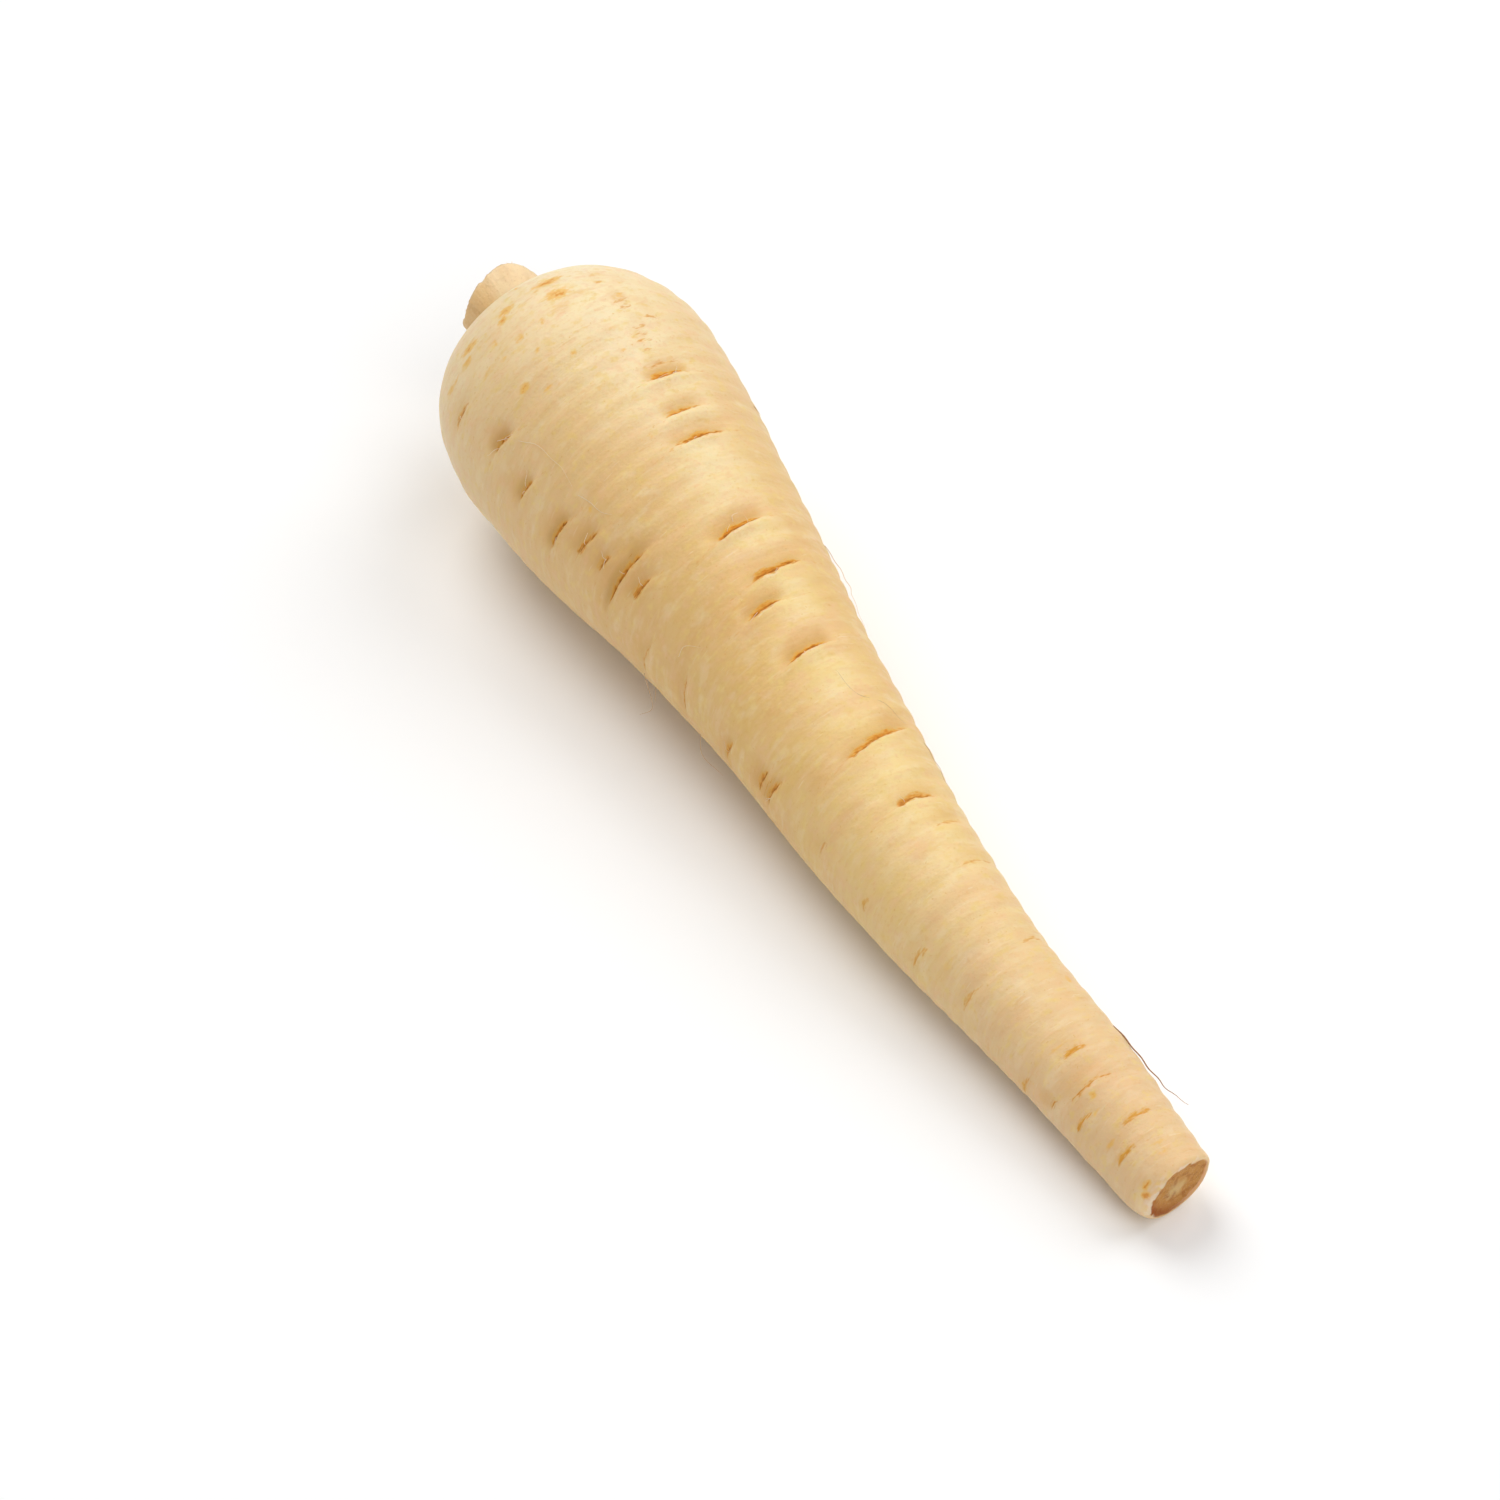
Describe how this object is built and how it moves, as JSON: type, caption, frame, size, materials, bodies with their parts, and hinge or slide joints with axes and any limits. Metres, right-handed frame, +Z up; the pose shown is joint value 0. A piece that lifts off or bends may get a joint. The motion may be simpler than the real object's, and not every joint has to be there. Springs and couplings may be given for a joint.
{
  "type": "parsnip",
  "caption": "Trimmed parsnip lying on its side: tapering cream taproot with a rounded shoulder, scarred skin and a cut tip, with a short stub of leaf stalks in its crown.",
  "frame": {"origin": "on the surface that the parsnip lies on, under the middle of its bounding box", "axes": "+X along the root from the crown to the tip, +Y sideways, +Z up"},
  "size_m": [0.2406, 0.059, 0.0586],
  "materials": {
    "root_skin": "thin satin skin of a fresh root, cream with yellow and pinkish tan mottles",
    "stalk_tissue": "dry, matt, fibrous cut leaf stalk, tan"
  },
  "bodies": {
    "root": {"taproot": "root_skin", "leaf_stalk_stub": "stalk_tissue"}
  },
  "joints": []
}
